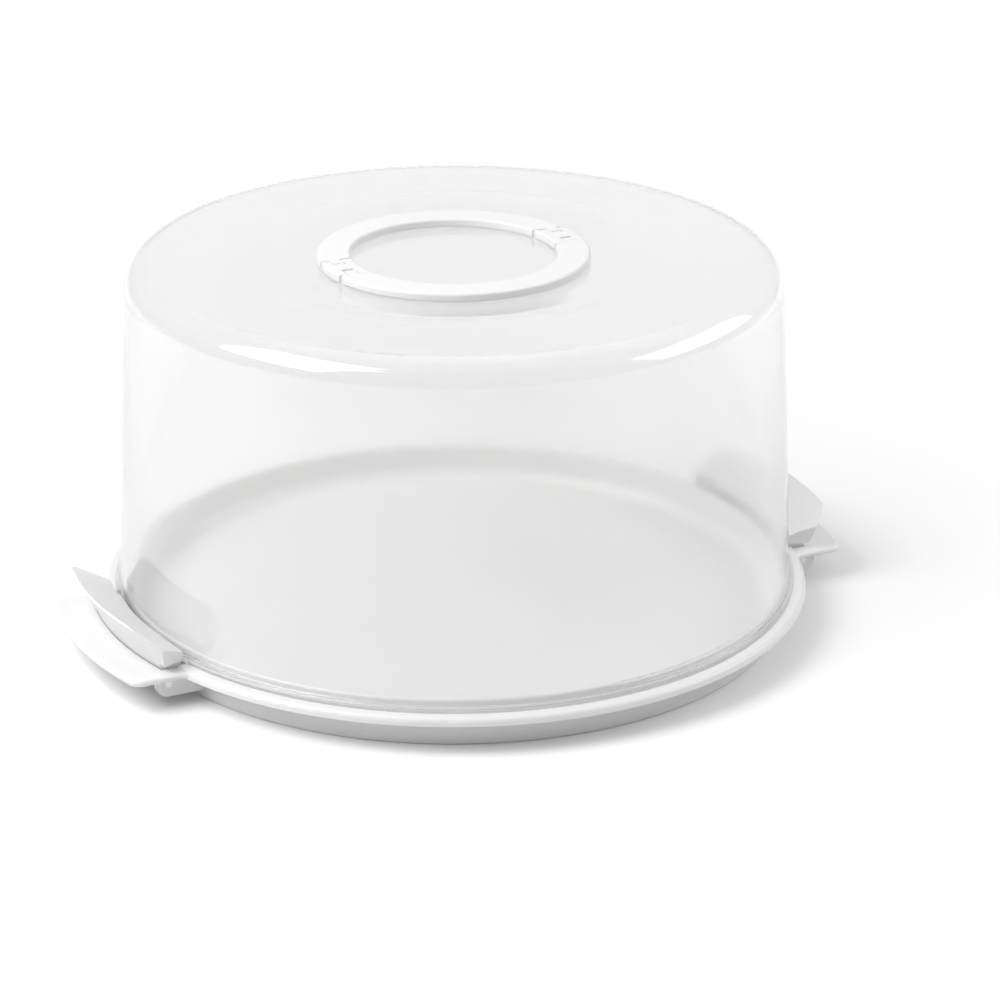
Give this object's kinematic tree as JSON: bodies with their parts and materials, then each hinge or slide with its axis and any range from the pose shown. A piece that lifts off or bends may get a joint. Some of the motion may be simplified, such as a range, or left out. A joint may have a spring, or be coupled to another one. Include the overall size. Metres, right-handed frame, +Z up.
{
  "type": "cake carrier",
  "caption": "Round cake carrier: white tray with two side handles, clear lift-off dome, hinged side latches and a fold-flat ring handle on top.",
  "frame": {"origin": "centre of the circle that the tray stands on", "axes": "+Z up, X through the two side handles and latches, front bail on the -Y side"},
  "size_m": [0.365, 0.32, 0.1709],
  "materials": {
    "white_plastic": "smooth moulded polypropylene with a soft sheen",
    "clear_plastic": "clear glossy moulded plastic, slightly hazy",
    "pin_steel": "drawn stainless steel"
  },
  "bodies": {
    "tray": {"base_tray": "white_plastic", "right_latch_pin": "pin_steel", "left_latch_pin": "pin_steel"},
    "lid": {"dome_lid": "clear_plastic", "right_pivot_block": "white_plastic", "left_pivot_block": "white_plastic", "right_bail_pins": "pin_steel", "left_bail_pins": "pin_steel"},
    "right_latch": {"right_latch": "white_plastic"},
    "left_latch": {"left_latch": "white_plastic"},
    "front_bail": {"front_bail": "white_plastic"},
    "rear_bail": {"rear_bail": "white_plastic"}
  },
  "joints": [
    {"name": "lid_lift", "type": "slide", "parent": "tray", "child": "lid", "axis": [0, 0, 1], "range_m": [0, 0.18]},
    {"name": "right_latch_hinge", "type": "hinge", "parent": "tray", "child": "right_latch", "pos_m": [0.1584, 0, 0.0104], "axis": [0, 1, 0], "range_deg": [-10, 0]},
    {"name": "left_latch_hinge", "type": "hinge", "parent": "tray", "child": "left_latch", "pos_m": [-0.1584, 0, 0.0104], "axis": [0, -1, 0], "range_deg": [-10, 0]},
    {"name": "front_bail_hinge", "type": "hinge", "parent": "lid", "child": "front_bail", "pos_m": [0, -0.0055, 0.1689], "axis": [-1, 0, 0], "range_deg": [0, 90]},
    {"name": "rear_bail_hinge", "type": "hinge", "parent": "lid", "child": "rear_bail", "pos_m": [0, 0.0055, 0.1689], "axis": [1, 0, 0], "range_deg": [0, 90]}
  ]
}
